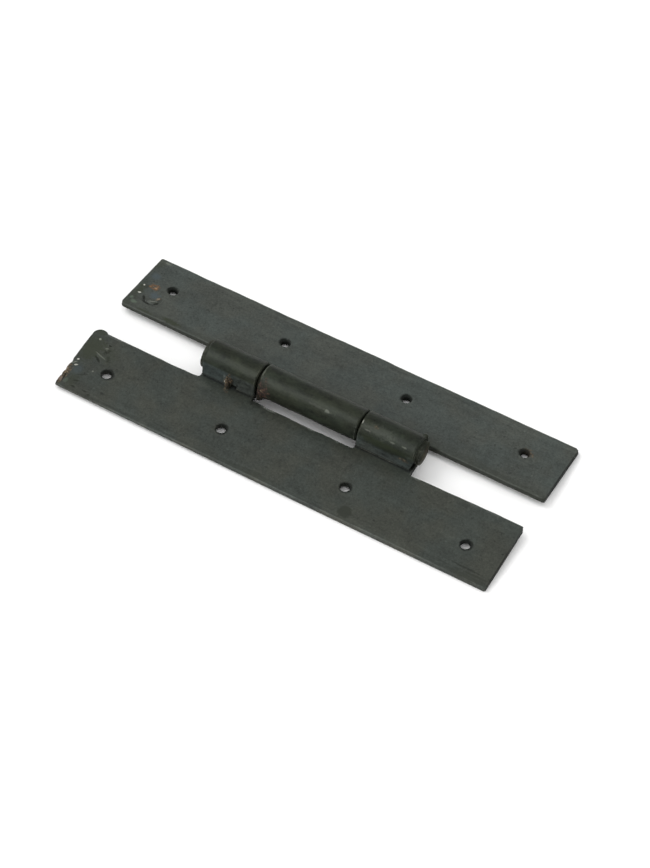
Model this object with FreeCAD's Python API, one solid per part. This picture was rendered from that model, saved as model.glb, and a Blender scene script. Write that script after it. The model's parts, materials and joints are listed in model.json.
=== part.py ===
import FreeCAD, Part
import math
import os

# Forged iron H hinge: two equal plate leaves that turn on one pin.
# The near leaf (towards -Y) carries the two outer knuckles, and the far leaf (+Y) the middle one.
# Each knuckle is the plate itself: a tab runs on under the pin, rolls round it and comes straight
# down again, so that its cut end stands on its own tab.
# The hinge lies with its knuckles up, a few degrees short of flat, on its two outer long edges.
# Millimetres. +X runs along the pin and +Z is up. The origin is on the ground, below the middle.

# Leaves
leaf_length = 229.0          # along the pin
leaf_width = 38.0            # across, without the knuckles
plate = 3.0                  # thickness of the plate, in the leaf and round the roll
leaf_reach = 10.4            # from the pin's axis to a leaf's inner edge
far_leaf_shift = 0.7         # how far the far leaf sits towards +X of the near one
corner_radius = 1.0          # the corners as they were cut
worn_corner_radius = 2.4     # the far leaf's inner left corner, worn round
edge_break = 0.35            # small chamfer left by the file on every rim
knuckle_break = 0.6          # the same on the knuckles' ends
level_tolerance = 0.035      # an edge that rises or strays less is straight
droop = 4.06                 # degrees by which each leaf slopes down from the pin
near_end_skew = 0.6          # how far a leaf's left end runs in towards its outer corner
far_end_skew = 0.9

# Screw holes, in one row along each leaf
hole_row = 31.5              # from the pin's axis to the row
inner_hole_spacing = 66.0    # between the two holes beside the knuckles
outer_hole_inset = 18.95     # from the leaf's ends to the two outer holes
near_holes_shift = 0.1       # middle of the near leaf's row from the middle of that leaf
far_holes_shift = -1.6       # middle of the far leaf's row from the middle of that leaf
near_hole_diameter = 4.8
near_countersink = 5.5
far_hole_diameter = 3.9      # punched smaller
far_countersink = 5.8
countersink_angle = 90.0     # degrees between opposite walls

# Pin and knuckles
pin_diameter = 10.0
pin_clearance = 0.08         # on the radius, between the pin and every knuckle
left_knuckle = 28.3          # length of the near leaf's left knuckle
middle_knuckle = 52.7        # length of the far leaf's knuckle
right_knuckle = 29.8         # length of the near leaf's right knuckle
left_play = 1.3              # open joint left of the middle knuckle
right_play = 0.6             # open joint right of the middle knuckle
barrel_shift = -0.9          # middle of the three knuckles from the middle of the near leaf
seam = 0.45                  # crack between a rolled strap's cut end and its tab
foot_spread = 0.9            # how far a strap's foot stands out from straight below the roll
left_trim = 0.6              # width lost at the left knuckle's foot, on the hinge's end
right_trim = 1.6             # the same on the right knuckle
tab_corner_radius = 1.2      # inside corner between a tab's side and the leaf

# Peened ends of the pin
left_head_diameter = 14.0
left_head_height = 2.3
left_head_rim = 1.5          # straight side of the head, next to the knuckle
right_head_diameter = 12.2
right_head_height = 2.6
right_head_rim = 1.6

# Marks of the making
burr_radius = 4.0            # corner of the near leaf that was hammered out, beside the gap
burr_proud = 1.2             # how far it stands past the leaf's inner edge
lump_radius = 2.0            # hammered-over lump low on the middle knuckle's left end
lump_place = 1.6             # its middle from that end
lump_angle = -34.0           # degrees up from level, on the near side
lump_proud = 1.2
nub_radius = 1.3             # the same high on the right knuckle's right end
nub_place = 0.9
nub_angle = 135.0
nub_proud = 1.1
weld_place = 12.9            # top of the weld bead down the left knuckle's flat face, from its left end
weld_lean = 2.0              # how far its foot lies to the right of its top
weld_radius = 1.25
weld_top = 0.6               # middle of the bead's upper end above the axis
weld_toe = 0.7               # how far its lower end stands out from the strap's foot
notch_place = 16.4           # chip broken out of the strap's cut end beside the weld
notch_width = 2.8
notch_depth = 0.9
notch_rise = 1.7             # how far it reaches up from the seam

# Worked out from the sizes above. Leaves are drawn flat, seen from the pin's axis.
pin_radius = pin_diameter / 2
bore_radius = pin_radius + pin_clearance
knuckle_radius = bore_radius + plate
back = -knuckle_radius
front = back + plate
leaf_outer = leaf_reach + leaf_width
outer_hole_spacing = leaf_length - 2 * outer_hole_inset
near_middle = -far_leaf_shift / 2
far_middle = far_leaf_shift / 2
barrel_length = left_knuckle + left_play + middle_knuckle + right_play + right_knuckle
barrel_left = near_middle + barrel_shift - barrel_length / 2
middle_left = barrel_left + left_knuckle + left_play
right_left = middle_left + middle_knuckle + right_play
barrel_right = right_left + right_knuckle
slope = math.radians(droop)
axis_height = (leaf_outer - edge_break) * math.sin(slope) + knuckle_radius * math.cos(slope)
along = FreeCAD.Vector(1, 0, 0)
upward = FreeCAD.Vector(0, 0, 1)
NEAR = -1
FAR = 1


def rounded_outline(corners, height):
    """Closed outline through (x, y, radius) corners, each rounded by its own tangent arc."""
    entries = []
    count = len(corners)
    for index, (x, y, radius) in enumerate(corners):
        corner = FreeCAD.Vector(x, y, height)
        before = FreeCAD.Vector(*corners[index - 1][:2], height) - corner
        after = FreeCAD.Vector(*corners[(index + 1) % count][:2], height) - corner
        before.normalize()
        after.normalize()
        half_turn = before.getAngle(after) / 2
        setback = radius / math.tan(half_turn)
        to_centre = (before + after).normalize()
        halfway = corner + to_centre * (radius / math.sin(half_turn) - radius)
        entries.append((corner + before * setback, halfway, corner + after * setback, radius))
    edges = []
    for index, (start, halfway, end, radius) in enumerate(entries):
        if radius > 0:
            edges.append(Part.Arc(start, halfway, end).toShape())
        edges.append(Part.makeLine(end, entries[(index + 1) % count][0]))
    return Part.Wire(edges)


def leaf_blank(side, middle, skew, radii, tabs):
    """Flat leaf with filed rims, and its tabs as far as the pin's axis.

    skew: how far the left end runs in towards its outer corner.
    radii: inner left, inner right, outer right and outer left corner.
    tabs: (left, right) of each knuckle.
    """
    left = middle - leaf_length / 2
    right = middle + leaf_length / 2
    inner = side * leaf_reach
    outer = side * leaf_outer
    corners = [(left, inner, radii[0])]
    for tab_left, tab_right in tabs:
        corners += [(tab_left, inner, tab_corner_radius), (tab_left, 0, 0),
                    (tab_right, 0, 0), (tab_right, inner, tab_corner_radius)]
    corners += [(right, inner, radii[1]), (right, outer, radii[2]), (left + skew, outer, radii[3])]
    blank = Part.Face(rounded_outline(corners, back)).extrude(upward * plate)
    rims = [edge for edge in level_edges(blank) if max(abs(edge.BoundBox.YMin), abs(edge.BoundBox.YMax)) > 0]
    return blank.makeChamfer(edge_break, rims)


def level_edges(solid):
    return [edge for edge in solid.Edges if edge.BoundBox.ZLength < level_tolerance]


def rolled_strap(side, left, right):
    """One knuckle, from the end of its tab round the pin and down to the tab again."""
    def point(y, z):
        return FreeCAD.Vector(left, side * y, z)

    def bend(first, last, radius, angle):
        turned = math.radians(angle)
        halfway = point(radius * math.cos(turned), radius * math.sin(turned))
        return Part.Arc(first, halfway, last).toShape()

    under = point(0, back)
    top = point(0, knuckle_radius)
    shoulder = point(knuckle_radius, 0)
    foot = point(knuckle_radius + foot_spread, front + seam)
    inner_foot = point(bore_radius + foot_spread, front + seam)
    inner_shoulder = point(bore_radius, 0)
    inner_top = point(0, bore_radius)
    inner_under = point(0, front)
    section = [
        bend(under, top, knuckle_radius, 180),
        bend(top, shoulder, knuckle_radius, 45),
        Part.makeLine(shoulder, foot),
        Part.makeLine(foot, inner_foot),
        Part.makeLine(inner_foot, inner_shoulder),
        bend(inner_shoulder, inner_top, bore_radius, 45),
        bend(inner_top, inner_under, bore_radius, 180),
        Part.makeLine(inner_under, under),
    ]
    strap = Part.Face(Part.Wire(section)).extrude(along * (right - left))
    rims = [edge for edge in strap.Edges if is_outer_rim(edge)]
    return strap.makeChamfer(knuckle_break, rims)


def lump(x, angle, radius, proud):
    """Ball sunk into a knuckle's outside, so that it stands proud of it."""
    turned = math.radians(angle)
    out = knuckle_radius + proud - radius
    centre = FreeCAD.Vector(x, NEAR * out * math.cos(turned), out * math.sin(turned))
    return Part.makeSphere(radius, centre)


def is_outer_rim(edge):
    """Whether an edge of a strap runs along the outside of one of its end faces."""
    middle = edge.valueAt((edge.FirstParameter + edge.LastParameter) / 2)
    from_axis = math.hypot(middle.y, max(middle.z, 0))
    return edge.BoundBox.XLength < level_tolerance and from_axis > knuckle_radius - edge_break


def foot_trim(end, inward, width):
    """Wedge taken off the end of a near leaf strap, from the roll's shoulder down to its foot."""
    outside = NEAR * (knuckle_radius + plate)
    past = end - inward * plate
    trimmed = end + inward * width
    below = front + seam / 2
    corners = [(past, 0), (end, 0), (trimmed, front + seam), (trimmed, below), (past, below)]
    points = [FreeCAD.Vector(x, outside, z) for x, z in corners]
    wedge = Part.Face(Part.makePolygon(points + points[:1]))
    return wedge.extrude(FreeCAD.Vector(0, -outside - pin_radius, 0))


def screw_holes(side, middle, diameter, sink_diameter):
    """Four countersunk screw holes, opened from the front of a leaf."""
    sink_depth = (sink_diameter - diameter) / 2 / math.tan(math.radians(countersink_angle / 2))
    cutters = []
    for spacing in (inner_hole_spacing, outer_hole_spacing):
        for end in (-1, 1):
            x = middle + end * spacing / 2
            y = side * hole_row
            cutters.append(Part.makeCylinder(diameter / 2, plate * 3, FreeCAD.Vector(x, y, back - plate)))
            sink = Part.makeCone(diameter / 2, sink_diameter / 2, sink_depth,
                                 FreeCAD.Vector(x, y, front - sink_depth))
            mouth = Part.makeCylinder(sink_diameter / 2, plate, FreeCAD.Vector(x, y, front))
            cutters += [sink, mouth]
    return cutters


def weld_bead():
    """Round-ended bead from the left knuckle's shoulder down over the seam."""
    x = barrel_left + weld_place
    top = FreeCAD.Vector(x, NEAR * knuckle_radius, weld_top)
    foot = FreeCAD.Vector(x + weld_lean, NEAR * (knuckle_radius + foot_spread + weld_toe), front)
    run = foot - top
    bead = Part.makeCylinder(weld_radius, run.Length, top, run)
    return bead.fuse([Part.makeSphere(weld_radius, end) for end in (top, foot)]).removeSplitter()


def lean(shape, side):
    """Turn a leaf down about the pin's axis and lift it to its height above the ground."""
    shape.rotate(FreeCAD.Vector(0, 0, 0), along, -side * droop)
    shape.translate(upward * axis_height)
    return shape


def near_leaf():
    tabs = ((barrel_left, barrel_left + left_knuckle), (right_left, barrel_right))
    radii = [burr_radius, corner_radius, corner_radius, corner_radius]
    solid = leaf_blank(NEAR, near_middle, near_end_skew, radii, tabs)
    burr_x = near_middle - leaf_length / 2 + burr_radius
    burr_y = NEAR * (leaf_reach - burr_proud + burr_radius)
    burr = Part.makeCylinder(burr_radius, plate, FreeCAD.Vector(burr_x, burr_y, back))
    burr = burr.makeChamfer(edge_break, level_edges(burr))
    straps = [rolled_strap(NEAR, left, right) for left, right in tabs]
    nub = lump(barrel_right - nub_place, nub_angle, nub_radius, nub_proud)
    solid = solid.fuse([burr, nub] + straps).removeSplitter()
    notch = Part.makeBox(notch_width, notch_depth + foot_spread, notch_rise,
                         FreeCAD.Vector(barrel_left + notch_place, back - foot_spread, front + seam))
    trims = [foot_trim(barrel_left, 1, left_trim), foot_trim(barrel_right, -1, right_trim)]
    holes = screw_holes(NEAR, near_middle + near_holes_shift, near_hole_diameter, near_countersink)
    return lean(solid.cut([notch] + trims).fuse(weld_bead()).cut(holes), NEAR)


def far_leaf():
    tab = (middle_left, middle_left + middle_knuckle)
    radii = [worn_corner_radius, corner_radius, corner_radius, corner_radius]
    solid = leaf_blank(FAR, far_middle, far_end_skew, radii, [tab])
    edge_lump = lump(middle_left + lump_place, lump_angle, lump_radius, lump_proud)
    solid = solid.fuse([rolled_strap(FAR, *tab), edge_lump]).removeSplitter()
    holes = screw_holes(FAR, far_middle + far_holes_shift, far_hole_diameter, far_countersink)
    return lean(solid.cut(holes), FAR)


def pin():
    """Round bar with both ends hammered out into heads that seat on the outer knuckles."""
    def point(x, radius):
        return FreeCAD.Vector(x, 0, radius)

    def head(seat, outward, radius, height, rim):
        """Shoulder, halfway point and tip of a head's crown, part of a ball centred on the axis."""
        rise = height - rim
        ball_radius = (radius ** 2 + rise ** 2) / (2 * rise)
        centre = height - ball_radius
        halfway = centre + math.sqrt(ball_radius ** 2 - (radius / 2) ** 2)
        return (point(seat + outward * rim, radius), point(seat + outward * halfway, radius / 2),
                point(seat + outward * height, 0))

    left_radius = left_head_diameter / 2
    right_radius = right_head_diameter / 2
    left_shoulder, left_halfway, left_tip = head(barrel_left, -1, left_radius, left_head_height, left_head_rim)
    right_shoulder, right_halfway, right_tip = head(barrel_right, 1, right_radius, right_head_height,
                                                    right_head_rim)
    outline = [
        Part.Arc(left_tip, left_halfway, left_shoulder).toShape(),
        Part.makeLine(left_shoulder, point(barrel_left, left_radius)),
        Part.makeLine(point(barrel_left, left_radius), point(barrel_left, pin_radius)),
        Part.makeLine(point(barrel_left, pin_radius), point(barrel_right, pin_radius)),
        Part.makeLine(point(barrel_right, pin_radius), point(barrel_right, right_radius)),
        Part.makeLine(point(barrel_right, right_radius), right_shoulder),
        Part.Arc(right_shoulder, right_halfway, right_tip).toShape(),
        Part.makeLine(right_tip, left_tip),
    ]
    solid = Part.Face(Part.Wire(outline)).revolve(FreeCAD.Vector(0, 0, 0), along, 360)
    solid.translate(upward * axis_height)
    return solid


os.makedirs("parts", exist_ok=True)
for name, shape in (("near_leaf", near_leaf()), ("far_leaf", far_leaf()), ("pin", pin())):
    solid = shape.Solids[0]
    print(name, len(shape.Solids), "solid", "valid" if shape.isValid() else "NOT VALID",
          "volume %.1f" % shape.Volume, "box", shape.BoundBox)
    solid.exportStep("parts/" + name + ".step")
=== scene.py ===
import json
import math

import bmesh
import bpy
from mathutils import Matrix, Vector
from mathutils.kdtree import KDTree


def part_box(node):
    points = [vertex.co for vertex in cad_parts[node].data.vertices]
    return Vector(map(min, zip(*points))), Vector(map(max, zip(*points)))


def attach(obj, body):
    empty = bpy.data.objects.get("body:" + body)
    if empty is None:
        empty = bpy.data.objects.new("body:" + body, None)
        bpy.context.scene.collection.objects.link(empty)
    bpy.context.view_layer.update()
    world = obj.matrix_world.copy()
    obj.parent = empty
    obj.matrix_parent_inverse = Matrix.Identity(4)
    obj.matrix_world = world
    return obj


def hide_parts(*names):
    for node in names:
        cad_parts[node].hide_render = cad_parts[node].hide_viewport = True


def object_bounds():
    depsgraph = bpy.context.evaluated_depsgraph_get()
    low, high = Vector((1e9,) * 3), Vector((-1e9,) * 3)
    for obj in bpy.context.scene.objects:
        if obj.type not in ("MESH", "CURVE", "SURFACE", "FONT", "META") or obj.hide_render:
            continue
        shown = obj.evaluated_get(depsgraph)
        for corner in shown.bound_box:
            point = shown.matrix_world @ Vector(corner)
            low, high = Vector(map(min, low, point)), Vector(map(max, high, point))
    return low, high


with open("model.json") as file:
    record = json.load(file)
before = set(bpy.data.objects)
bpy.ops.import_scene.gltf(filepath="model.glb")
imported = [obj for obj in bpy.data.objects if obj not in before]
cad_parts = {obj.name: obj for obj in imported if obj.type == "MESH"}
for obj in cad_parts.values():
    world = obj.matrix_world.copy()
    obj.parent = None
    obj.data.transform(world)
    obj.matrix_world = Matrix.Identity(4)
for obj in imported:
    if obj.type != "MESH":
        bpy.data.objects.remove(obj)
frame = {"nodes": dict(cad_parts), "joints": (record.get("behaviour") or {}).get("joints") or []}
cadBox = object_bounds()
print("frame loaded")

mm = 0.001
near, far = -1, 1

# the hinge as it was built, in millimetres from the pin's axis
hinge = {
    "axisHeight": frame["joints"][0]["pos_m"][2] / mm,
    "droop": 4.06,             # degrees by which each leaf slopes down from the pin
    "plate": 3.0,
    "leafTop": -5.08,
    "leafBack": -8.08,
    "innerEdge": 10.4,         # out from the axis
    "outerEdge": 48.4,
    "holeRow": 31.5,
    "holes": (-95.55, -33.0, 33.0, 95.55),
    "boreRadius": 5.08,
    "knuckleRadius": 8.08,
    "barrelLeft": -57.6,
    "barrelRight": 55.1,
    "slotName": "forged_iron",
}


def leafPoint(side, x, out, above=0.0):
    slope = math.radians(hinge["droop"])
    height = hinge["leafTop"] + above
    return mm * Vector((x, side * (out * math.cos(slope) + height * math.sin(slope)),
                        hinge["axisHeight"] - out * math.sin(slope) + height * math.cos(slope)))


def barrelPoint(x, angle):
    turned = math.radians(angle)  # 0 is level towards the near leaf, 90 is straight up
    radius = hinge["knuckleRadius"]
    return mm * Vector((x, -radius * math.cos(turned), hinge["axisHeight"] + radius * math.sin(turned)))


def pinPoint(x, out, up):
    return mm * Vector((x, -out, hinge["axisHeight"] + up))


def leafNormal(side):
    slope = math.radians(hinge["droop"])
    return Vector((0, side * math.sin(slope), math.cos(slope)))


def fromAxis(point):
    return math.hypot(point.y, point.z - hinge["axisHeight"] * mm) / mm


# a copy of a CAD node with a close net of vertices, which the forging can move
net = {
    "merge": 0.002,            # joins the loose triangles
    "snap": 0.01,
    "step": 1.0,
    "wallCuts": (0.9, 1.5, 2.1),
    "wallTilt": 0.5,           # a face that turns further from the leaf's own direction is a wall
    "barrelReach": 1.5,        # how far past the knuckles the level cuts go
    "roundTolerance": 0.08,
    "fineCuts": 2,             # of each edge round small marks
    "rimAngle": 25.0,          # a sharper edge counts as a rim
    "shadeAngle": 32.0,
}


def cutAlong(bm, faces, axis, places):
    if not places:
        return
    middle = len(places) // 2
    place = places[middle]
    parts = faces + list({edge for face in faces for edge in face.edges})
    parts += list({vert for face in faces for vert in face.verts})
    cut = bmesh.ops.bisect_plane(bm, geom=parts, dist=net["snap"] * mm, plane_co=axis * place, plane_no=axis)
    pieces = [part for part in cut["geom"] if isinstance(part, bmesh.types.BMFace)]
    below = [face for face in pieces if face.calc_center_median().dot(axis) < place]
    above = [face for face in pieces if face.calc_center_median().dot(axis) >= place]
    cutAlong(bm, below, axis, places[:middle])
    cutAlong(bm, above, axis, places[middle + 1:])


def evenly(low, high, step):
    count = max(1, round((high - low) / step))
    return [low + (index + 0.5) * (high - low) / count for index in range(count)]


def refine(bm, spot, reach):
    local = [face for face in bm.faces if (face.calc_center_median() - spot).length < reach]
    edges = {edge for face in local for edge in face.edges}
    bmesh.ops.subdivide_edges(bm, edges=list(edges), cuts=net["fineCuts"], use_grid_fill=True)


def closeNet(nodeName, side, fineSpots):
    bm = bmesh.new()
    bm.from_mesh(frame["nodes"][nodeName].data)
    bmesh.ops.remove_doubles(bm, verts=bm.verts, dist=net["merge"] * mm)
    low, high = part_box(nodeName)
    step = net["step"] * mm
    cutAlong(bm, list(bm.faces), Vector((1, 0, 0)), evenly(low.x, high.x, step))
    cutAlong(bm, list(bm.faces), Vector((0, 1, 0)), evenly(low.y, high.y, step))
    axisHeight = hinge["axisHeight"] * mm
    rollFoot = axisHeight + hinge["leafTop"] * mm
    rollTop = axisHeight + hinge["knuckleRadius"] * mm
    barrelEnd = hinge["knuckleRadius"] + net["barrelReach"]
    barrel = [face for face in bm.faces if fromAxis(face.calc_center_median()) < barrelEnd]
    cutAlong(bm, barrel, Vector((0, 0, 1)), evenly(rollFoot, rollTop, step))
    if side:
        up = leafNormal(side)
        top = leafPoint(side, 0, 0).dot(up)
        walls = [face for face in bm.faces if abs(face.normal.dot(up)) < net["wallTilt"]
                 and face.calc_center_median().dot(up) < top]
        cutAlong(bm, walls, up, sorted(top - depth * mm for depth in net["wallCuts"]))
    for spot, reach in fineSpots:
        refine(bm, spot, reach * mm)
    return bm


def trueRound(bm, side):
    for vert in bm.verts:
        height = vert.co.z / mm - hinge["axisHeight"]
        if height < 0 and vert.co.y * side > 0:
            continue
        radial = fromAxis(vert.co)
        for radius in (hinge["boreRadius"], hinge["knuckleRadius"]):
            if 0.001 < abs(radial - radius) < net["roundTolerance"]:
                vert.co.y *= radius / radial
                vert.co.z = (hinge["axisHeight"] + height * radius / radial) * mm


def markRims(bm):
    rim = bm.verts.layers.float.new("rim")
    for edge in bm.edges:
        if edge.is_manifold and edge.calc_face_angle() > math.radians(net["rimAngle"]):
            for vert in edge.verts:
                vert[rim] = 1.0


def markFree(bm, isHeld):
    free = bm.verts.layers.float.new("free")
    for vert in bm.verts:
        vert[free] = 0.0 if isHeld(vert.co) else 1.0


# single blows: a positive depth sinks the surface, a negative one raises it
def blow(at, radius, depth, **more):
    return dict({"at": at, "radius": radius, "depth": depth}, **more)


def lineDistance(point, start, end):
    line = end - start
    along = 0.0 if line.length == 0 else min(max((point - start).dot(line) / line.length_squared, 0), 1)
    return (point - start - line * along).length


def arcDistance(point, hit):
    offset = point - hit["at"]
    start, end = hit["arc"]
    turned = math.radians(min(max(math.degrees(math.atan2(offset.y, offset.x)), start), end))
    onArc = hit["at"] + Vector((math.cos(turned), math.sin(turned), 0)) * hit["ring"] * mm
    gap = point - onArc
    return math.hypot(gap.x, gap.y)


def strike(bm, blows):
    bm.normal_update()
    normals = [vert.normal.copy() for vert in bm.verts]
    bm.verts.ensure_lookup_table()
    tree = KDTree(len(bm.verts))
    for index, vert in enumerate(bm.verts):
        tree.insert(vert.co, index)
    tree.balance()
    free = bm.verts.layers.float["free"]
    for hit in blows:
        start = hit["at"]
        end = hit.get("to", start)
        reach = hit["radius"] * mm
        span = (end - start).length / 2 + reach + hit.get("ring", 0) * mm
        for place, index, _ in tree.find_range((start + end) / 2, span):
            away = arcDistance(place, hit) if "arc" in hit else lineDistance(place, start, end)
            if away < reach:
                vert = bm.verts[index]
                share = vert[free] * (1 - (away / reach) ** 2) ** 2
                vert.co -= hit.get("push", normals[index]) * hit["depth"] * mm * share


# how a long edge of a leaf departs from straight, in millimetres at places along it
edgeShare = {
    "thinReach": 4.0,          # how far from the edge the thinning fades
    "thinFrom": 0.2,           # below the leaf's top
    "driftReach": 9.0,
    "driftFrom": -0.3,
    "clearOfRoll": 9.6,        # from the axis: nearer than this nothing drifts
}


def heightAt(x, stops):
    for (first, low), (last, high) in zip(stops, stops[1:]):
        if first <= x <= last:
            return low + (high - low) * (x - first) / (last - first)
    return 0.0


def belowTop(vert, side):
    up = leafNormal(side)
    return (leafPoint(side, 0, 0).dot(up) - vert.co.dot(up)) / mm


def besideEdge(vert, side, edgeOut, reach):
    return max(0, 1 - abs(vert.co.y * side / mm - edgeOut) / reach)


def thinEdge(bm, side, edgeOut, stops):
    up = leafNormal(side)
    first = edgeShare["thinFrom"]
    for vert in bm.verts:
        below = belowTop(vert, side)
        beside = besideEdge(vert, side, edgeOut, edgeShare["thinReach"])
        if beside and first < below < hinge["plate"] + first:
            vert.co += up * heightAt(vert.co.x / mm, stops) * mm * beside * below / hinge["plate"]


def driftEdge(bm, side, edgeOut, stops):
    across = Vector((0, side, 0))
    for vert in bm.verts:
        below = belowTop(vert, side)
        beside = besideEdge(vert, side, edgeOut, edgeShare["driftReach"])
        share = beside * max(0, 1 - below / hinge["plate"])
        if share > 0 and below > edgeShare["driftFrom"] and fromAxis(vert.co) > edgeShare["clearOfRoll"]:
            vert.co += across * heightAt(vert.co.x / mm, stops) * mm * share


# node helpers
def put(tree, kind, inputs=None, **settings):
    node = tree.nodes.new(kind)
    for name, value in settings.items():
        setattr(node, name, value)
    for name, value in (inputs or {}).items():
        feed(tree, node.inputs[name], value)
    return node


def feed(tree, socket, value):
    if isinstance(value, bpy.types.NodeSocket):
        tree.links.new(value, socket)
    else:
        socket.default_value = value


def calc(tree, operation, *values, clamp=False):
    node = put(tree, "ShaderNodeMath", operation=operation, use_clamp=clamp)
    for socket, value in zip(node.inputs, values):
        feed(tree, socket, value)
    return node.outputs[0]


def product(tree, *values):
    result = values[0]
    for value in values[1:]:
        result = calc(tree, "MULTIPLY", result, value)
    return result


def total(tree, *values):
    result = values[0]
    for value in values[1:]:
        result = calc(tree, "ADD", result, value)
    return result


def spread(tree, value, low, high, first=0.0, last=1.0, smooth=True):
    node = put(tree, "ShaderNodeMapRange", interpolation_type="SMOOTHSTEP" if smooth else "LINEAR")
    for socket, given in zip(node.inputs, (value, low, high, first, last)):
        feed(tree, socket, given)
    return node.outputs[0]


def blend(tree, factor, first, second, kind="MIX"):
    node = put(tree, "ShaderNodeMix", data_type="RGBA", blend_type=kind)
    for index, value in ((0, factor), (6, first), (7, second)):
        feed(tree, node.inputs[index], (*value, 1.0) if isinstance(value, tuple) else value)
    return node.outputs[2]


# the smith's hand: shallow blows over the faces, and edges that wander
forging = {
    "Blow Size": 11.0 * mm,
    "Blow Depth": 0.14 * mm,
    "Wave Size": 34.0 * mm,
    "Wave Depth": 0.14 * mm,
    "Edge Size": 9.0 * mm,
    "Edge Depth": 0.20 * mm,
    "Grain Size": 2.6 * mm,
    "Grain Depth": 0.03 * mm,
    "Seed": 4.0,
}


def forgingTree():
    tree = bpy.data.node_groups.new("forgedSkin", "GeometryNodeTree")
    sockets = tree.interface
    sockets.new_socket(name="Geometry", in_out="INPUT", socket_type="NodeSocketGeometry")
    for name in forging:
        sockets.new_socket(name=name, in_out="INPUT", socket_type="NodeSocketFloat")
    sockets.new_socket(name="Flat Side", in_out="INPUT", socket_type="NodeSocketVector")
    sockets.new_socket(name="Iron", in_out="INPUT", socket_type="NodeSocketMaterial")
    sockets.new_socket(name="Geometry", in_out="OUTPUT", socket_type="NodeSocketGeometry")
    given = put(tree, "NodeGroupInput").outputs
    place = put(tree, "GeometryNodeInputPosition").outputs[0]
    normal = put(tree, "GeometryNodeInputNormal").outputs[0]
    free = put(tree, "GeometryNodeInputNamedAttribute", {"Name": "free"}, data_type="FLOAT").outputs[0]

    def per(name):
        return calc(tree, "DIVIDE", 1.0, given[name])

    def waves(name, detail):
        inputs = {"Vector": place, "W": given["Seed"], "Scale": per(name), "Detail": detail}
        return put(tree, "ShaderNodeTexNoise", inputs, noise_dimensions="4D").outputs[0]

    inputs = {"Vector": place, "W": given["Seed"], "Scale": per("Blow Size"), "Smoothness": 0.35}
    cells = put(tree, "ShaderNodeTexVoronoi", inputs, feature="SMOOTH_F1", voronoi_dimensions="4D")
    blows = product(tree, spread(tree, cells.outputs["Distance"], 0.7, 0.1), given["Blow Depth"])
    swell = product(tree, spread(tree, waves("Wave Size", 1.0), 0.3, 0.7), given["Wave Depth"])
    grain = product(tree, spread(tree, waves("Grain Size", 2.0), 0.35, 0.7), given["Grain Depth"])
    wander = spread(tree, waves("Edge Size", 3.0), 0.3, 0.7, -0.6, 0.4)
    facing = put(tree, "ShaderNodeVectorMath", operation="DOT_PRODUCT")
    feed(tree, facing.inputs[0], normal)
    feed(tree, facing.inputs[1], given["Flat Side"])
    onEdge = spread(tree, calc(tree, "ABSOLUTE", facing.outputs["Value"]), 0.95, 0.4)
    edges = product(tree, wander, given["Edge Depth"], onEdge)
    depth = product(tree, total(tree, total(tree, blows, swell), total(tree, grain, edges)), free, -1.0)
    offset = put(tree, "ShaderNodeVectorMath", {"Scale": depth}, operation="SCALE")
    feed(tree, offset.inputs[0], normal)
    moved = put(tree, "GeometryNodeSetPosition", {"Geometry": given["Geometry"], "Offset": offset.outputs[0]})
    real = put(tree, "GeometryNodeRealizeInstances", {"Geometry": moved.outputs[0]})
    painted = put(tree, "GeometryNodeSetMaterial", {"Geometry": real.outputs[0], "Material": given["Iron"]})
    tree.links.new(painted.outputs[0], put(tree, "NodeGroupOutput").inputs[0])
    return tree


forgedSkin = forgingTree()


def forge(name, bm, flatSide, iron, seed, changes=None):
    mesh = bpy.data.meshes.new(name)
    bm.to_mesh(mesh)
    bm.free()
    rough = bpy.data.objects.new(name + "Rough", mesh)
    bpy.context.scene.collection.objects.link(rough)
    modifier = rough.modifiers.new("forging", "NODES")
    modifier.node_group = forgedSkin
    values = dict(forging, **(changes or {}), **{"Flat Side": flatSide, "Iron": iron})
    values["Seed"] = seed
    for item in forgedSkin.interface.items_tree:
        if item.in_out == "INPUT" and item.name in values:
            modifier[item.identifier] = values[item.name]
    evaluated = rough.evaluated_get(bpy.context.evaluated_depsgraph_get())
    finished = bpy.data.meshes.new_from_object(evaluated)
    rough.modifiers.clear()
    bpy.data.objects.remove(rough)
    low, high = cadBox
    for vert in finished.vertices:
        vert.co = [min(max(value, least), most) for value, least, most in zip(vert.co, low, high)]
    finished.shade_smooth()
    finished.set_sharp_from_angle(angle=math.radians(net["shadeAngle"]))
    wall = finished.attributes.new("wall", "FLOAT", "FACE")
    for face in finished.polygons:
        wall.data[face.index].value = 1.0 if abs(face.normal.dot(flatSide)) < net["wallTilt"] else 0.0
    piece = bpy.data.objects.new(name, finished)
    bpy.context.scene.collection.objects.link(piece)
    return piece


# blackened iron under wax: paler on the flat leaves, olive on the roll, bluish on the straps' flat fronts
ironLook = {
    "leaf": (0.0268, 0.0304, 0.0266),
    "roll": (0.0122, 0.0150, 0.0100),
    "flat": (0.0290, 0.0350, 0.0340),
    # the straps' foot: the dark seam, and painted shade on the lowest band of the straps and the roll
    "footShadeAndSeam": (0.0080, 0.0090, 0.0080),
    "wall": (0.0365, 0.039, 0.035),
    "rim": (0.090, 0.094, 0.084),
    "warm": (1.06, 1.0, 0.91),
    "cool": (0.96, 1.0, 0.99),
    "leafGloss": 0.28,
    "rollGloss": 0.14,
    "sheenTint": (0.94, 1.0, 0.93, 1.0),
    "roughness": 0.36,
    "wallRoughness": 0.22,
    "bump": 0.45,
    "bumpHeight": 0.09,        # in millimetres
    "rimWear": 0.55,
    "outerWear": 0.12,
}
# each zone's tone and share, laid over the leaf's tone in this order; the foot's dark tone is the dark seam
# at the flats' foot with painted shade on the lowest band of the straps and the roll
tones = (("roll", "roll", 1.0), ("flat", "flat", 1.0), ("wall", "wall", 1.0), ("footShadeAndSeam", "footShadeAndSeam", 0.75),
         # the roll's tone laid beside the roll is painted shade, cast by the roll on the leaves
         ("shadeBesideRoll", "roll", 0.42))
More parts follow.
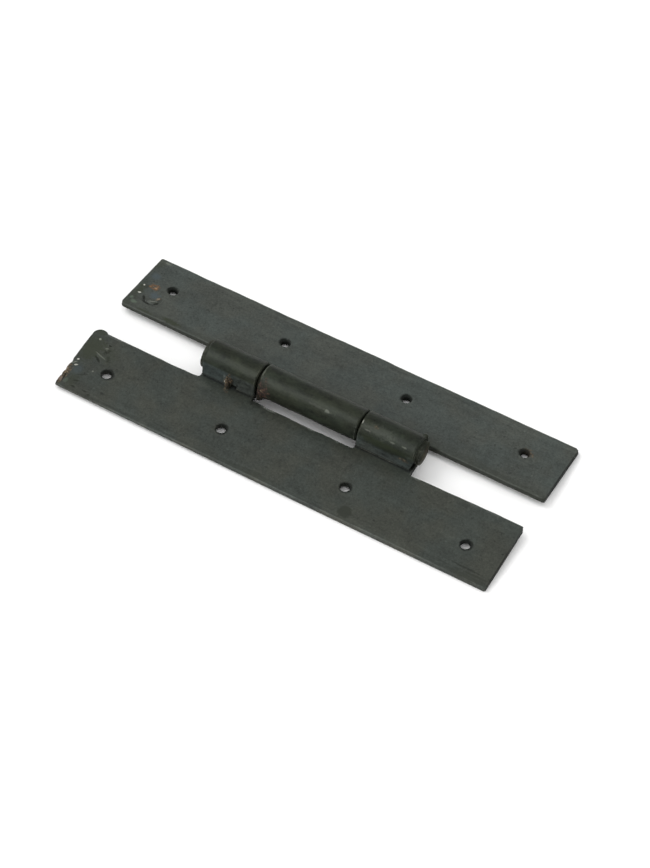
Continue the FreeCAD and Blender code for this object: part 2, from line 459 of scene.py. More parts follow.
# where each zone begins to show and where it shows in full, in millimetres
zones = {
    "roll": (9.4, 8.7),        # from the axis
    "strap": (11.2, 10.7),
    "flatOut": (7.0, 7.9),     # outwards from the axis
    "flatUp": (3.4, 1.6),      # above the axis
    # the foot, above the axis: the dark seam and the painted shade on the lowest band of the straps and the
    # roll
    "footShadeAndSeam": (-3.9, -4.9),
    # where the painted shade beside the roll reaches, out from the axis and along it
    "besideOut": (18.5, 12.0),
    "besideAlong": (62.0, 50.0),
    "edgeLines": (40.5, 44.0),
    "outerWear": (42.5, 46.5),
}
# unevenness, from a hand's breadth down to grains: size in millimetres, detail, roughness and seed
grains = {
    "cloud": (26, 3.0, 0.55, 0.0),
    "hue": (17, 2.0, 0.5, 11.0),
    "mottle": (4.2, 3.0, 0.6, 5.0),
    "speckle": (1.15, 3.0, 0.7, 0.0),
    "fine": (0.42, 2.0, 0.6, 0.0),
    "streaks": (60, 4.0, 0.6, 0.0),
    "smears": (2.6, 3.0, 0.6, 13.0),
    "edgeLines": (1.8, 3.0, 0.6, 19.0),
    "pits": (1.9, 2.0, 0.5, 21.0),
    "flecks": (1.5, 2.0, 0.5, 31.0),
    "wear": (6, 3.0, 0.6, 3.0),
    "ragged": (1.3, 3.0, 0.7, 7.0),
    "crumbs": (0.9, 3.0, 0.7, 17.0),
}
drawnOut = {
    "streaks": {"Rotation": (0, 0, math.radians(28)), "Scale": (1.0, 9.0, 1.0)},
    "smears": {"Scale": (0.35, 1.0, 1.0)},
    "edgeLines": {"Scale": (0.10, 1.0, 1.0)},
}
# what each grain adds to the tone, to the roughness and to the height
toneWeights = {"cloud": 0.6, "mottle": 0.8, "speckle": 1.7, "fine": 1.1, "streaks": 0.5, "smears": 2.6,
               "edgeLines": 1.5}
extraTone = {"flecks": 0.5, "pits": -0.45}
roughWeights = {"speckle": 0.12, "cloud": 0.08}
heightWeights = {"speckle": 0.7, "fine": 0.35, "mottle": 0.8, "pits": -0.5}

rust = {"colour": (0.085, 0.048, 0.025), "second": (0.18, 0.095, 0.042), "rough": 0.85, "lift": 0.3}
peachRust = {"colour": (0.26, 0.15, 0.08), "rough": 0.8, "lift": 0.2}
brownRust = {"colour": (0.036, 0.026, 0.017), "second": (0.150, 0.108, 0.064), "rough": 0.8, "lift": 0.4}
redRust = {"colour": (0.022, 0.016, 0.014), "second": (0.090, 0.048, 0.036), "rough": 0.75, "lift": 0.3}
tan = {"colour": (0.080, 0.058, 0.036), "second": (0.24, 0.19, 0.13), "rough": 0.75, "lift": 0.4}
pinkBrown = {"colour": (0.150, 0.108, 0.088), "rough": 0.75, "lift": 0.4}
chip = {"colour": (0.42, 0.42, 0.37), "rough": 0.5, "lift": 0.0}
paleSpeck = {"colour": (0.17, 0.18, 0.15), "rough": 0.6, "lift": 0.0}
paleGreen = {"colour": (0.075, 0.098, 0.072), "rough": 0.6, "lift": 0.2}
oliveScale = {"colour": (0.017, 0.021, 0.010), "rough": 0.6, "lift": 0.5}
dull = {"colour": (0.014, 0.016, 0.011), "rough": 0.65, "lift": 0.0}
# dark matt marks: real gouges, and painted shade in the corners beside the middle knuckle
gougeAndShade = {"colour": (0.006, 0.007, 0.005), "rough": 0.7, "lift": -0.6, "matt": 0.5}
# painted shade: darkens the screw holes and the leaves' right end walls, and takes their gloss away
paintedShade = {"colour": (0.006, 0.007, 0.006), "rough": 0.7, "lift": 0.0, "matt": 0.85}
blueSheen = {"colour": (0.040, 0.058, 0.072), "rough": 0.45, "lift": 0.0}
markOutline = {"ragged": 2.4, "hollow": 0.85}


def mark(kind, at, size, strength=1.0, soft=0.5, ragged=1.0, turn=0.0, hollow=0.0):
    return dict(kind, at=at, size=size, strength=strength, soft=soft, ragged=ragged, turn=turn, hollow=hollow)


# painted shade in and around each screw hole
def holeShadeMarks(side, shift, radius):
    places = [leafPoint(side, shift + x, hinge["holeRow"]) for x in hinge["holes"]]
    return [mark(paintedShade, place, (radius, radius, 5), 0.85, 0.4, 0.2) for place in places]


def grain(tree, place, name):
    size, detail, roughness, seed = grains[name]
    if name in drawnOut:
        place = put(tree, "ShaderNodeMapping", {"Vector": place, **drawnOut[name]}).outputs[0]
    inputs = {"Vector": place, "W": seed, "Scale": 1 / (size * mm), "Detail": detail, "Roughness": roughness}
    return put(tree, "ShaderNodeTexNoise", inputs, noise_dimensions="4D").outputs[0]


def findZones(tree, place, side):
    split = put(tree, "ShaderNodeSeparateXYZ", {"Vector": place}).outputs
    outward = product(tree, split["Y"], side)
    above = calc(tree, "SUBTRACT", split["Z"], hinge["axisHeight"] * mm)
    squared = total(tree, product(tree, split["Y"], split["Y"]), product(tree, above, above))
    away = calc(tree, "SQRT", squared)

    def within(value, name, *ends):
        first, full = zones[name]
        return spread(tree, value, first * mm, full * mm, *ends)

    strap = within(away, "strap")
    leaf = calc(tree, "SUBTRACT", 1.0, strap)
    along = within(calc(tree, "ABSOLUTE", split["X"]), "besideAlong")
    wall = put(tree, "ShaderNodeAttribute", attribute_name="wall").outputs["Fac"]
    return {
        "roll": within(away, "roll"),
        "flat": product(tree, strap, within(outward, "flatOut"), within(above, "flatUp")),
        # the foot: the dark seam, and painted shade on the lowest band of the straps and the roll
        "footShadeAndSeam": product(tree, strap, within(above, "footShadeAndSeam")),
        # beside the roll: painted shade cast by the roll on the leaves
        "shadeBesideRoll": product(tree, within(outward, "besideOut"), leaf, along),
        "wall": product(tree, wall, leaf),
        "everyWall": wall,
        "edgeLines": within(outward, "edgeLines", 0.25, 1.0),
        "outerWear": within(outward, "outerWear"),
    }


def toneOf(tree, on, grainOf, look):
    masks = {"smears": on["roll"], "edgeLines": on["edgeLines"]}
    uneven = 1.0
    for name, weight in toneWeights.items():
        part = calc(tree, "SUBTRACT", grainOf[name], 0.5)
        if name in masks:
            part = product(tree, part, masks[name])
        uneven = total(tree, uneven, product(tree, part, weight))
    worn = product(tree, on["outerWear"], spread(tree, grainOf["wear"], 0.35, 0.65), look["outerWear"])
    uneven = total(tree, uneven, worn)
    for name, weight in extraTone.items():
        uneven = total(tree, uneven, product(tree, grainOf[name], weight))

    colour = look["leaf"]
    for zone, tone, share in tones:
        colour = blend(tree, product(tree, on[zone], share), colour, look[tone])
    rim = put(tree, "ShaderNodeAttribute", attribute_name="rim").outputs["Fac"]
    bare = spread(tree, grainOf["wear"], 0.40, 0.62)
    bare = product(tree, spread(tree, rim, 0.35, 1.0), bare, look["rimWear"])
    colour = blend(tree, bare, colour, look["rim"])
    tint = blend(tree, spread(tree, grainOf["hue"], 0.38, 0.62), look["warm"], look["cool"])
    colour = blend(tree, 1.0, colour, tint, "MULTIPLY")
    grey = put(tree, "ShaderNodeCombineColor", {"Red": uneven, "Green": uneven, "Blue": uneven}).outputs[0]
    return blend(tree, 1.0, colour, grey, "MULTIPLY")


def addMark(tree, place, spot, grainOf, surface):
    colour, roughness, height, gloss = surface
    local = put(tree, "ShaderNodeMapping", {"Vector": place, "Location": tuple(spot["at"]),
                                            "Rotation": (0, 0, math.radians(spot["turn"])),
                                            "Scale": tuple(extent * mm for extent in spot["size"])},
                vector_type="TEXTURE").outputs[0]
    length = put(tree, "ShaderNodeVectorMath", {"Vector": local}, operation="LENGTH").outputs["Value"]
    away = total(tree, length, product(tree, grainOf["ragged"], markOutline["ragged"] * spot["ragged"]))
    inside = spread(tree, away, 1 + spot["soft"] / 2, 1 - spot["soft"] / 2)
    if spot["hollow"]:
        core = product(tree, spread(tree, away, spot["hollow"], spot["hollow"] / 2), markOutline["hollow"])
        inside = calc(tree, "SUBTRACT", inside, core, clamp=True)
    inside = product(tree, inside, spot["strength"])
    own = spot["colour"]
    if "second" in spot:
        own = blend(tree, grainOf["crumbs"], own, spot["second"])
    colour = blend(tree, inside, colour, own)
    change = product(tree, inside, calc(tree, "SUBTRACT", spot["rough"], roughness))
    roughness = total(tree, roughness, change)
    if "matt" in spot:
        gloss = product(tree, gloss, calc(tree, "SUBTRACT", 1.0, product(tree, inside, spot["matt"])))
    if spot["lift"]:
        height = total(tree, height, product(tree, inside, spot["lift"]))
    return colour, roughness, height, gloss


def iron(name, side, marks, **changes):
    look = dict(ironLook, **changes)
    material = bpy.data.materials.new(name)
    material.use_nodes = True
    tree = material.node_tree
    tree.nodes.clear()
    place = put(tree, "ShaderNodeTexCoord").outputs["Object"]
    on = findZones(tree, place, side)
    grainOf = {grainName: grain(tree, place, grainName) for grainName in grains}
    grainOf["pits"] = spread(tree, grainOf["pits"], 0.64, 0.74)
    grainOf["flecks"] = spread(tree, grainOf["flecks"], 0.66, 0.76)
    grainOf["crumbs"] = spread(tree, grainOf["crumbs"], 0.48, 0.62)
    grainOf["ragged"] = calc(tree, "SUBTRACT", grainOf["ragged"], 0.5)

    colour = toneOf(tree, on, grainOf, look)
    roughParts = [product(tree, grainOf[part], weight) for part, weight in roughWeights.items()]
    onWalls = product(tree, on["everyWall"], look["wallRoughness"])
    roughness = total(tree, look["roughness"], *roughParts, onWalls)
    height = total(tree, *(product(tree, grainOf[part], weight) for part, weight in heightWeights.items()))
    gloss = spread(tree, on["roll"], 0.0, 1.0, look["leafGloss"], look["rollGloss"], smooth=False)
    surface = (colour, roughness, height, gloss)
    for spot in marks:
        surface = addMark(tree, place, spot, grainOf, surface)
    colour, roughness, height, gloss = surface
    relief = {"Strength": look["bump"], "Distance": look["bumpHeight"] * mm, "Height": height}
    bump = put(tree, "ShaderNodeBump", relief)
    shader = put(tree, "ShaderNodeBsdfPrincipled", {"Base Color": colour, "Roughness": roughness,
                                                    "Specular IOR Level": gloss,
                                                    "Specular Tint": look["sheenTint"],
                                                    "Normal": bump.outputs[0]})
    tree.links.new(shader.outputs[0], put(tree, "ShaderNodeOutputMaterial").inputs[0])
    return material


def finish(piece, nodeName, bodyName):
    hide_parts(nodeName)
    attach(piece, bodyName)
    print(piece.name, "has", len(piece.data.polygons), "faces")


# how far round the bearings and the backs the surface stays as it is, in millimetres
held = {
    "bore": 0.3,
    "head": 9.5,               # from the axis, beyond the barrel's ends
    "barrelEnd": 0.2,
    "back": 0.5,
    "pinEnd": 0.05,
}


def isLeafHeld(point):
    x = point.x / mm
    away = fromAxis(point)
    inBore = away < hinge["boreRadius"] + held["bore"]
    onBarrel = hinge["barrelLeft"] + held["barrelEnd"] < x < hinge["barrelRight"] - held["barrelEnd"]
    underHead = away < held["head"] and not onBarrel
    height = point.z / mm - hinge["axisHeight"] + abs(point.y) / mm * math.tan(math.radians(hinge["droop"]))
    return inBore or underHead or height < hinge["leafBack"] + held["back"]


def isPinHeld(point):
    first = hinge["barrelLeft"] - held["pinEnd"]
    return first < point.x / mm < hinge["barrelRight"] + held["pinEnd"]


# near leaf, with its two rolled knuckles
nearLeaf = {
    "fineSpots": [(leafPoint(near, -103.5, 21.5), 7.0), (leafPoint(near, -112, 41), 6.0),
                  (pinPoint(-43.7, 9, -2.5), 5.0)],
    "blows": [
        blow(barrelPoint(32, 6), 4.0, 0.35, to=barrelPoint(50, 2)),
        blow(leafPoint(near, -105.6, 24.9), 0.8, 0.30, to=leafPoint(near, -102.5, 27.3)),
        blow(leafPoint(near, -106.9, 22.9), 0.7, -0.12, to=leafPoint(near, -100.7, 24.8)),
        blow(leafPoint(near, -103.6, 21.3), 0.7, 0.30, arc=(-70, 80), ring=1.5),
        blow(leafPoint(near, -103.1, 16.4), 0.7, 0.25),
        blow(leafPoint(near, -99.5, 24.1), 1.2, 0.18),
        blow(leafPoint(near, -114.4, 33.0), 1.8, 0.50),
        blow(leafPoint(near, -114.6, 38.6), 1.6, 0.55),
        blow(leafPoint(near, -114.8, 42.0), 1.3, 0.60),
        blow(leafPoint(near, -113.4, 45.9), 1.5, 0.40),
        blow(leafPoint(near, -112.0, 41.5), 0.8, 0.25, to=leafPoint(near, -112.6, 46.0)),
        blow(pinPoint(-43.0, 9.4, -1.0), 1.3, 0.45),
        blow(pinPoint(-45.6, 9.0, -2.2), 1.1, 0.40),
        blow(pinPoint(-42.2, 10.4, -3.6), 1.0, 0.40),
        blow(pinPoint(-44.4, 10.3, -4.2), 0.8, 0.30),
        blow(leafPoint(near, -115, 49.0), 3.2, 0.80),
        blow(leafPoint(near, 114.5, 10.4), 2.2, 0.45),
        blow(leafPoint(near, 114.5, 48.4), 1.8, 0.35),
    ],
    "frontThin": [(-115, 2.2), (-95, 2.0), (-75, 1.7), (-45, 1.25), (-15, 0.6), (10, 0.2), (30, 0.0)],
    "innerDrift": [(-115, 0.35), (-62, 0.45), (-58, 0.0), (-28.6, 0.0), (-28.2, -0.5), (-25.5, -0.5),
                   (-22.5, -0.2), (-20, 0.0), (58, 0.0), (62, -0.4), (78, -0.8), (94, -1.1), (115, -1.2)],
    "marks": [
        mark(oliveScale, leafPoint(near, -110.0, 21.5), (5.2, 7.5, 5), 0.72, 0.8, 1.3, -12),
        mark(oliveScale, leafPoint(near, -111.5, 10.5), (3.2, 2.6, 3), 0.6, 0.8),
        mark(dull, leafPoint(near, -114.8, 21.0), (0.8, 9.0, 3), 0.8, 0.8),
        mark(paleSpeck, leafPoint(near, -109.5, 15.3), (0.55, 0.55, 1), 0.9, 0.6, 0.5),
        mark(gougeAndShade, leafPoint(near, -103.1, 16.4), (0.75, 0.4, 1), 0.9, 0.6, 0.6),
        mark(paleSpeck, leafPoint(near, -103.6, 18.6), (0.8, 0.4, 1), 0.5, 0.7, 0.6, 25),
        mark(gougeAndShade, leafPoint(near, -102.6, 20.6), (1.7, 0.9, 1), 0.6, 0.8, 1.4, 55),
        mark(paleSpeck, leafPoint(near, -103.8, 23.8), (3.2, 0.35, 1), 0.45, 0.7, 0.5, -17),
        mark(gougeAndShade, leafPoint(near, -104.0, 26.1), (2.2, 0.65, 1), 0.8, 0.6, 0.5, -38),
        mark(gougeAndShade, leafPoint(near, -99.7, 23.8), (0.9, 1.9, 1), 0.5, 0.9, 1.5, 25),
        mark(oliveScale, leafPoint(near, -101.0, 22.0), (4.5, 5.0, 2), 0.35, 1.2),
        mark(blueSheen, leafPoint(near, -109.0, 36.0), (2.2, 3.0, 2), 0.28, 1.2),
        mark(oliveScale, leafPoint(near, -108.0, 42.0), (2.6, 4.0, 2), 0.45, 1.2, 1.3),
        mark(paleGreen, leafPoint(near, -110.6, 44.0), (0.9, 1.6, 2), 0.35, 0.9),
        mark(paleSpeck, leafPoint(near, -113.0, 33.2), (1.8, 0.3, 1), 0.6, 0.6, 0.5, 42),
        mark(chip, leafPoint(near, -112.1, 30.6), (0.65, 0.4, 1), 0.9, 0.5, 0.5, 30),
        mark(chip, leafPoint(near, -111.2, 34.0), (0.9, 0.4, 1), 0.75, 0.5, 0.5, 30),
        mark(brownRust, leafPoint(near, -113.4, 41.5), (1.8, 6.0, 3), 0.9, 0.7, 1.4),
        mark(tan, leafPoint(near, -113.9, 38.2), (0.9, 2.2, 2), 0.85, 0.6, 1.2),
        mark(pinkBrown, leafPoint(near, -113.2, 44.2), (0.9, 1.2, 2), 0.7, 0.6, 1.2),
        mark(gougeAndShade, leafPoint(near, -112.3, 43.0), (0.35, 2.8, 2), 0.8, 0.6, 0.8, 8),
        mark(gougeAndShade, leafPoint(near, -106.1, 41.9), (1.7, 0.45, 1), 0.5, 0.7, 0.8, 25),
        mark(gougeAndShade, leafPoint(near, -105.4, 45.7), (1.3, 0.5, 1), 0.6, 0.7, 0.8, -10),
        mark(gougeAndShade, leafPoint(near, -99.6, 45.3), (1.8, 0.5, 1), 0.5, 0.7, 0.8),
        mark(gougeAndShade, leafPoint(near, -96.7, 46.3), (1.0, 0.6, 1), 0.5, 0.7, 0.8),
        mark(gougeAndShade, leafPoint(near, -105.6, 37.5), (2.8, 0.4, 1), 0.4, 0.8, 0.8, 30),
        mark(paleSpeck, leafPoint(near, -102.3, 33.4), (0.5, 0.5, 1), 0.5, 0.7, 0.5),
        mark(dull, leafPoint(near, 39.4, 43.8), (3.3, 3.3, 1.5), 0.85, 0.4, 0.4),
        # painted shade on the near leaf's right end wall
        mark(paintedShade, leafPoint(near, 114.7, 29.0, -1.5), (1.0, 30, 6), 0.7, 0.6, 0.15),
        mark(gougeAndShade, leafPoint(near, 102.0, 42.8), (6.5, 0.5, 1), 0.45, 0.9, 1.3),
        mark(dull, leafPoint(near, 105.5, 44.6), (6.5, 0.6, 1), 0.6, 0.9, 1.3),
        mark(dull, leafPoint(near, -10, 46.6), (16, 1.6, 2), 0.4, 1.0),
        mark(dull, leafPoint(near, 104, 47.0), (9, 1.8, 2), 0.5, 1.0),
        mark(paleSpeck, leafPoint(near, -53.6, 14.0), (3.5, 1.5, 1), 0.08, 1.0),
        mark(oliveScale, barrelPoint(40, 12), (14, 1.8, 2.0), 0.75, 0.9, 0.6),
        mark(redRust, pinPoint(-41.8, 9.5, -2.6), (1.6, 2.0, 2.6), 0.8, 0.8),
        mark(gougeAndShade, pinPoint(-41.3, 9.3, -2.4), (1.7, 2.4, 3.2), 0.8, 0.9, 1.2),
        mark(brownRust, pinPoint(-43.1, 9.3, -2.0), (1.7, 2.2, 3.9), 0.9, 0.6, 1.3),
        mark(tan, pinPoint(-43.9, 9.6, -1.2), (0.5, 1.6, 1.7), 0.8, 0.6, 1.2),
        mark(chip, pinPoint(-44.2, 9.5, -1.6), (0.25, 0.8, 0.7), 0.5, 0.6, 0.8),
        mark(brownRust, pinPoint(-42.4, 11.3, -5.0), (2.0, 1.2, 1.0), 0.7, 0.8, 1.3),
        mark(gougeAndShade, pinPoint(-41.0, 9.8, -4.2), (2.2, 2.4, 1.3), 0.85, 0.7, 0.8),
        # painted shade in the corner beside the middle knuckle, over dark gunk
        mark(gougeAndShade, leafPoint(near, -26.8, 10.4), (3.4, 2.2, 3.5), 0.8, 0.9, 0.9),
        mark(chip, barrelPoint(26.0, 64), (0.25, 0.9, 0.9), 0.5, 0.6, 1.2),
        mark(chip, barrelPoint(29.8, 44), (1.4, 0.35, 0.35), 0.10, 0.8, 1.3),
        mark(paleSpeck, barrelPoint(36.0, 58), (6.0, 2.5, 2.5), 0.10, 1.2, 1.6),
        mark(paleSpeck, barrelPoint(43.0, 41), (1.3, 0.4, 0.4), 0.30, 0.9, 1.4),
        mark(paleSpeck, barrelPoint(49.0, 43), (1.4, 0.4, 0.4), 0.35, 0.9, 1.4),
        mark(brownRust, barrelPoint(33.0, 66), (1.2, 0.8, 0.8), 0.35, 1.0, 1.4),
        mark(gougeAndShade, barrelPoint(46.0, 0), (7.0, 1.4, 1.6), 0.45, 1.3, 0.9),
        mark(brownRust, barrelPoint(50.0, -6), (2.5, 0.8, 0.8), 0.5, 1.0, 1.3),
    ],
}
nearNet = closeNet("near_leaf", near, nearLeaf["fineSpots"])
trueRound(nearNet, near)
markRims(nearNet)
markFree(nearNet, isLeafHeld)
strike(nearNet, nearLeaf["blows"])
thinEdge(nearNet, near, hinge["outerEdge"], nearLeaf["frontThin"])
driftEdge(nearNet, near, hinge["innerEdge"], nearLeaf["innerDrift"])
nearIron = iron("nearIron", near, nearLeaf["marks"] + holeShadeMarks(near, 0.1, 3.15))
nearPlate = forge("nearLeafPlate", nearNet, leafNormal(near), nearIron, 2.0)
finish(nearPlate, "near_leaf", "near_leaf")

# far leaf, with the middle knuckle
farLeaf = {
    "fineSpots": [(leafPoint(far, -104.0, 24.5), 9.0), (leafPoint(far, -110.0, 18.0), 5.5),
                  (barrelPoint(-26.5, 10), 5.0)],
    "blows": [
        blow(leafPoint(far, -102.8, 22.1), 1.1, 0.60, arc=(-130, 18), ring=4.6),
        blow(leafPoint(far, -102.8, 22.1), 0.6, -0.15, arc=(-120, 10), ring=3.5),
        blow(leafPoint(far, -105.5, 28.7), 1.0, -0.12, arc=(-180, 180), ring=1.6),
        blow(leafPoint(far, -110.6, 26.2), 1.5, 0.25),
        blow(leafPoint(far, -110.0, 21.7), 0.9, 0.20),
        blow(leafPoint(far, -115.0, 29.0), 1.4, 0.30),
        blow(leafPoint(far, -90.7, 10.6), 1.3, 0.35, to=leafPoint(far, -83.7, 10.6)),
        blow(barrelPoint(-27.6, -44), 4.2, -1.9, push=Vector((0, -0.72, -0.69))),
        blow(barrelPoint(-26.8, -12), 2.0, -0.3),
        blow(leafPoint(far, 115.0, 48.6), 2.6, 0.7),
        blow(leafPoint(far, 115.0, 10.4), 2.4, 0.5),
    ],
    "innerThin": [(-115, 0.9), (-95, 0.6), (-75, 0.3), (-58, 0.0), (115, 0.0)],
    "marks": [
        mark(oliveScale, leafPoint(far, -110.5, 23.5), (1.6, 3.2, 2), 0.7, 0.8),
        mark(dull, leafPoint(far, -109.2, 27.0), (1.0, 1.8, 2), 0.6, 0.8),
        mark(rust, leafPoint(far, -105.5, 28.7), (2.3, 1.9, 2), 0.95, 0.5, 0.9, 0, 0.55),
        mark(peachRust, leafPoint(far, -104.6, 28.2), (0.8, 0.45, 1), 0.8, 0.6, 0.8),
        mark(blueSheen, leafPoint(far, -108.9, 35.3), (2.0, 2.0, 2), 0.45, 1.0),
        mark(blueSheen, leafPoint(far, -102.4, 23.6), (2.4, 2.0, 2), 0.55, 0.9),
        mark(gougeAndShade, leafPoint(far, -106.3, 19.7), (0.6, 1.7, 1), 0.85, 0.7, 0.7, 40),
        mark(gougeAndShade, leafPoint(far, -103.2, 17.5), (2.8, 0.75, 1), 0.9, 0.7, 0.7, -3),
        mark(gougeAndShade, leafPoint(far, -99.2, 19.4), (0.6, 1.9, 1), 0.85, 0.7, 0.7, -38),
        mark(oliveScale, leafPoint(far, -112.0, 20.0), (3.0, 10.0, 3), 0.45, 1.2, 1.4),
        mark(dull, leafPoint(far, 84, 11.0), (34, 3.4, 3), 0.45, 1.0),
        mark(dull, leafPoint(far, -86, 11.0), (30, 3.0, 3), 0.35, 1.0),
        mark(paleSpeck, leafPoint(far, -101.3, 19.6), (2.2, 0.35, 1), 0.5, 0.7, 0.6, 22),
        mark(tan, leafPoint(far, -99.8, 22.4), (0.7, 1.5, 1), 0.8, 0.6, 0.8, -20),
        mark(chip, leafPoint(far, -110.7, 27.4), (0.4, 0.4, 1), 0.9, 0.5, 0.4),
        mark(chip, leafPoint(far, -110.0, 21.7), (0.85, 0.45, 1), 0.95, 0.5, 0.4, 20),
        mark(paleGreen, leafPoint(far, -111.4, 16.9), (0.9, 0.9, 1), 0.7, 0.8),
        mark(paleGreen, leafPoint(far, -109.2, 14.8), (1.4, 1.1, 1), 0.75, 0.8),
        mark(oliveScale, leafPoint(far, -101.0, 11.8), (3.5, 0.8, 1), 0.7, 0.8),
        mark(oliveScale, leafPoint(far, -87.0, 12.6), (5.0, 1.2, 1), 0.85, 0.8),
        mark(oliveScale, leafPoint(far, -111.5, 44.0), (2.2, 3.0, 2), 0.35, 1.0),
        mark(paleSpeck, leafPoint(far, -108.5, 46.5), (1.4, 0.6, 1), 0.4, 0.8),
        mark(dull, leafPoint(far, -95.0, 43.4), (0.6, 0.5, 1), 0.5, 0.7),
        mark(dull, leafPoint(far, -71.6, 34.5), (0.5, 0.5, 1), 0.5, 0.7),
        mark(dull, leafPoint(far, -68.6, 38.1), (0.5, 0.4, 1), 0.5, 0.7),
        mark(dull, leafPoint(far, -68.0, 24.4), (0.5, 0.5, 1), 0.5, 0.7),
        mark(brownRust, leafPoint(far, 94.8, 32.4), (3.0, 2.2, 3), 0.8, 0.8),
        mark(redRust, barrelPoint(-25.6, -16), (3.6, 5.0, 7.0), 0.9, 0.9, 1.5),
        # painted shade over the dark lump at the middle knuckle's lower left end
        mark(gougeAndShade, barrelPoint(-26.4, -38), (4.0, 3.6, 3.2), 0.85, 0.8, 1.1),
        # painted shade on the far leaf's right end wall
        mark(paintedShade, leafPoint(far, 115.3, 29.0, -1.5), (1.0, 30, 6), 0.7, 0.6, 0.15),
        mark(tan, barrelPoint(-25.6, 8), (0.8, 0.7, 0.6), 0.4, 0.8, 1.2),
        mark(paleSpeck, barrelPoint(-27.7, 80), (0.35, 4.5, 3.0), 0.3, 0.6, 0.5),
        mark(paleSpeck, barrelPoint(8.4, 44), (1.6, 0.6, 0.6), 0.45, 1.0, 1.6),
        mark(paleSpeck, barrelPoint(3.0, 46), (5.0, 0.6, 0.6), 0.10, 1.0, 1.5),
    ],
}
farNet = closeNet("far_leaf", far, farLeaf["fineSpots"])
trueRound(farNet, far)
markRims(farNet)
markFree(farNet, isLeafHeld)
strike(farNet, farLeaf["blows"])
thinEdge(farNet, far, hinge["innerEdge"], farLeaf["innerThin"])
# the far leaf's paler tone is painted light, from how the lamps fall on its slope, and its darker inner wall
# is painted shade
farIron = iron("farIron", far, farLeaf["marks"] + holeShadeMarks(far, -1.6, 2.95),
               leaf=(0.0340, 0.0395, 0.0360), wall=(0.0195, 0.022, 0.019), warm=(1.05, 1.0, 0.93))
farPlate = forge("farLeafPlate", farNet, leafNormal(far), farIron, 5.0)
finish(farPlate, "far_leaf", "far_leaf")

# pin with its two peened ends
pin = {
    "fineSpots": [(pinPoint(58.0, 0, 0), 6.5), (pinPoint(-60.0, 0, 0), 7.0)],
    "blows": [
        blow(pinPoint(58.0, 3.5, 3.0), 4.0, 0.5),
        blow(pinPoint(57.8, -4.0, -1.0), 4.5, 0.5),
        blow(pinPoint(56.0, 6.1, -1.5), 2.4, 0.5),
        blow(pinPoint(57.6, 1.0, -4.0), 2.0, 0.3),
        blow(pinPoint(-60.0, 3.0, 2.0), 3.5, 0.25),
        blow(pinPoint(-60.0, -2.0, -2.0), 3.5, 0.25),
    ],
    "marks": [
        mark(oliveScale, pinPoint(57.5, 0, 0), (3, 6, 6), 0.6, 1.2),
        mark(brownRust, pinPoint(57.8, 2, -1), (3, 2.4, 3), 0.35, 1.2, 1.5),
        mark(gougeAndShade, pinPoint(57.2, 4.6, 1.5), (2, 1.4, 2.6), 0.6, 1.0, 1.3),
        mark(gougeAndShade, pinPoint(57.0, 0.5, 5.2), (2, 2.4, 1.6), 0.6, 1.0, 1.3),
        mark(redRust, pinPoint(58.0, -1.0, 2.5), (2, 2.0, 1.6), 0.5, 1.0, 1.4),
        mark(dull, pinPoint(-60.0, 2, 0), (3, 4, 5), 0.4, 1.2),
    ],
    "forging": {"Blow Depth": 0.05 * mm, "Wave Depth": 0.04 * mm, "Edge Depth": 0.10 * mm},
}

pinNet = closeNet("pin", 0, pin["fineSpots"])
markRims(pinNet)
markFree(pinNet, isPinHeld)
strike(pinNet, pin["blows"])
pinIron = iron("pinIron", near, pin["marks"], roll=(0.024, 0.026, 0.020))
pinPiece = forge("peenedPin", pinNet, Vector((1, 0, 0)), pinIron, 9.0, pin["forging"])
finish(pinPiece, "pin", "near_leaf")

# floor, light and camera
studio = {
    "floorSize": 30.0,
    "floorDrop": 0.02,         # in millimetres, so that the leaves' edges don't lie in the floor
    "floorColour": (0.97, 0.97, 0.965, 1.0),
    "floorRoughness": 0.9,
    "skyFill": 0.95,
}
bpy.ops.mesh.primitive_plane_add(size=studio["floorSize"], location=(0, 0, -studio["floorDrop"] * mm))
floor = bpy.context.active_object
floor.name = "floor"
paper = bpy.data.materials.new("paper")
paper.use_nodes = True
paperShader = paper.node_tree.nodes["Principled BSDF"]
paperShader.inputs["Base Color"].default_value = studio["floorColour"]
paperShader.inputs["Roughness"].default_value = studio["floorRoughness"]
paperShader.inputs["Specular IOR Level"].default_value = 0.0
floor.data.materials.append(paper)

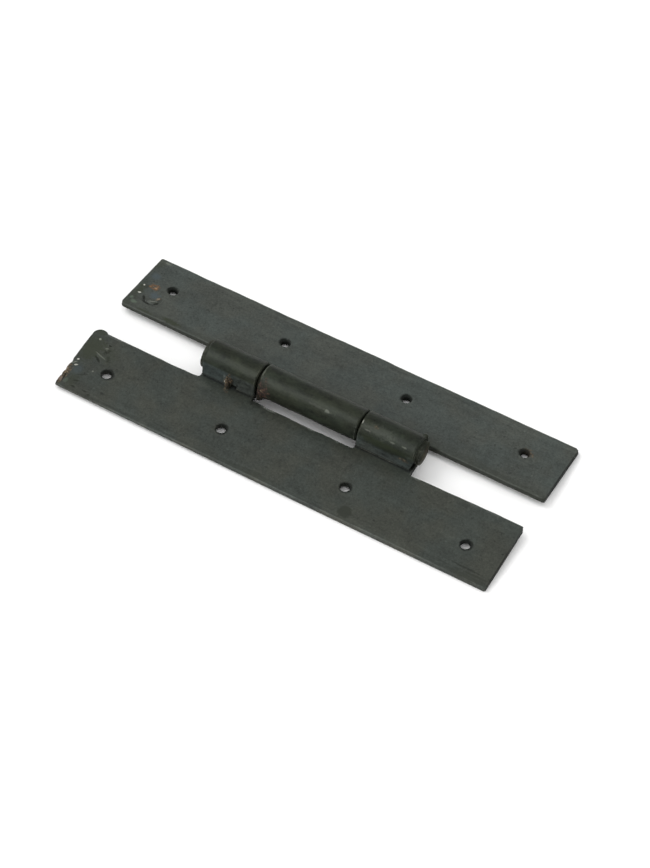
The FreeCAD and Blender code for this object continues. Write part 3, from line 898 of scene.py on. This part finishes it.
# plain white where it is seen or reflected, and a little less as light
world = bpy.data.worlds.new("studio")
bpy.context.scene.world = world
world.use_nodes = True
sky = world.node_tree
sky.nodes.clear()
rays = put(sky, "ShaderNodeLightPath").outputs
seen = calc(sky, "MAXIMUM", calc(sky, "MAXIMUM", rays["Is Camera Ray"], rays["Is Glossy Ray"]),
            rays["Is Transmission Ray"])
strength = spread(sky, seen, 0.0, 1.0, studio["skyFill"], 1.0, smooth=False)
white = put(sky, "ShaderNodeBackground", {"Color": (1, 1, 1, 1), "Strength": strength})
sky.links.new(white.outputs[0], put(sky, "ShaderNodeOutputWorld").inputs[0])

# two lights fall on paper and iron, and the third gives the iron its sheen
lights = {
    "overhead": {"strength": 1.00, "angle": 36.0, "from": (-0.8, -0.1, 1.0), "unseenBy": "glossy"},
    "front": {"strength": 0.75, "angle": 25.0, "from": (-0.25, -1.0, 0.38), "unseenBy": "glossy"},
    "sheen": {"strength": 2.80, "angle": 42.0, "from": (-0.5, -0.75, 1.0), "unseenBy": "diffuse"},
}
for name, light in lights.items():
    data = bpy.data.lights.new(name, "SUN")
    data.energy = light["strength"]
    data.angle = math.radians(light["angle"])
    sun = bpy.data.objects.new(name, data)
    sun.rotation_euler = Vector(light["from"]).to_track_quat("Z", "Y").to_euler()
    sun.visible_glossy = light["unseenBy"] != "glossy"
    sun.visible_diffuse = light["unseenBy"] != "diffuse"
    bpy.context.scene.collection.objects.link(sun)

photoView = {
    "azimuth": 25.214,
    "elevation": 50.103,
    "roll": 5.292,
    "distance": 1308.95,
    "target": (8.075, -5.240, 0.0),
    "focalPixels": 2801.9,
    "framePixels": 868,        # the photograph's longer side
    "sensorWidth": 36.0,
}


def aimCamera(view):
    turned, raised, rolled = (math.radians(view[name]) for name in ("azimuth", "elevation", "roll"))
    level = math.cos(raised)
    back = Vector((math.sin(turned) * level, -math.cos(turned) * level, math.sin(raised)))
    sideways = Vector((0, 0, 1)).cross(back).normalized()
    upright = back.cross(sideways)
    right = sideways * math.cos(rolled) + upright * math.sin(rolled)
    up = upright * math.cos(rolled) - sideways * math.sin(rolled)
    data = bpy.data.cameras.new("camera")
    data.sensor_width = view["sensorWidth"]
    data.lens = view["focalPixels"] * view["sensorWidth"] / view["framePixels"]
    camera = bpy.data.objects.new("camera", data)
    turn = Matrix((right, up, back)).transposed().to_4x4()
    camera.matrix_world = Matrix.Translation(mm * (Vector(view["target"]) + back * view["distance"])) @ turn
    bpy.context.scene.collection.objects.link(camera)
    return camera


bpy.context.scene.camera = aimCamera(photoView)
bpy.context.scene.view_settings.view_transform = "Standard"
print("studio ready")
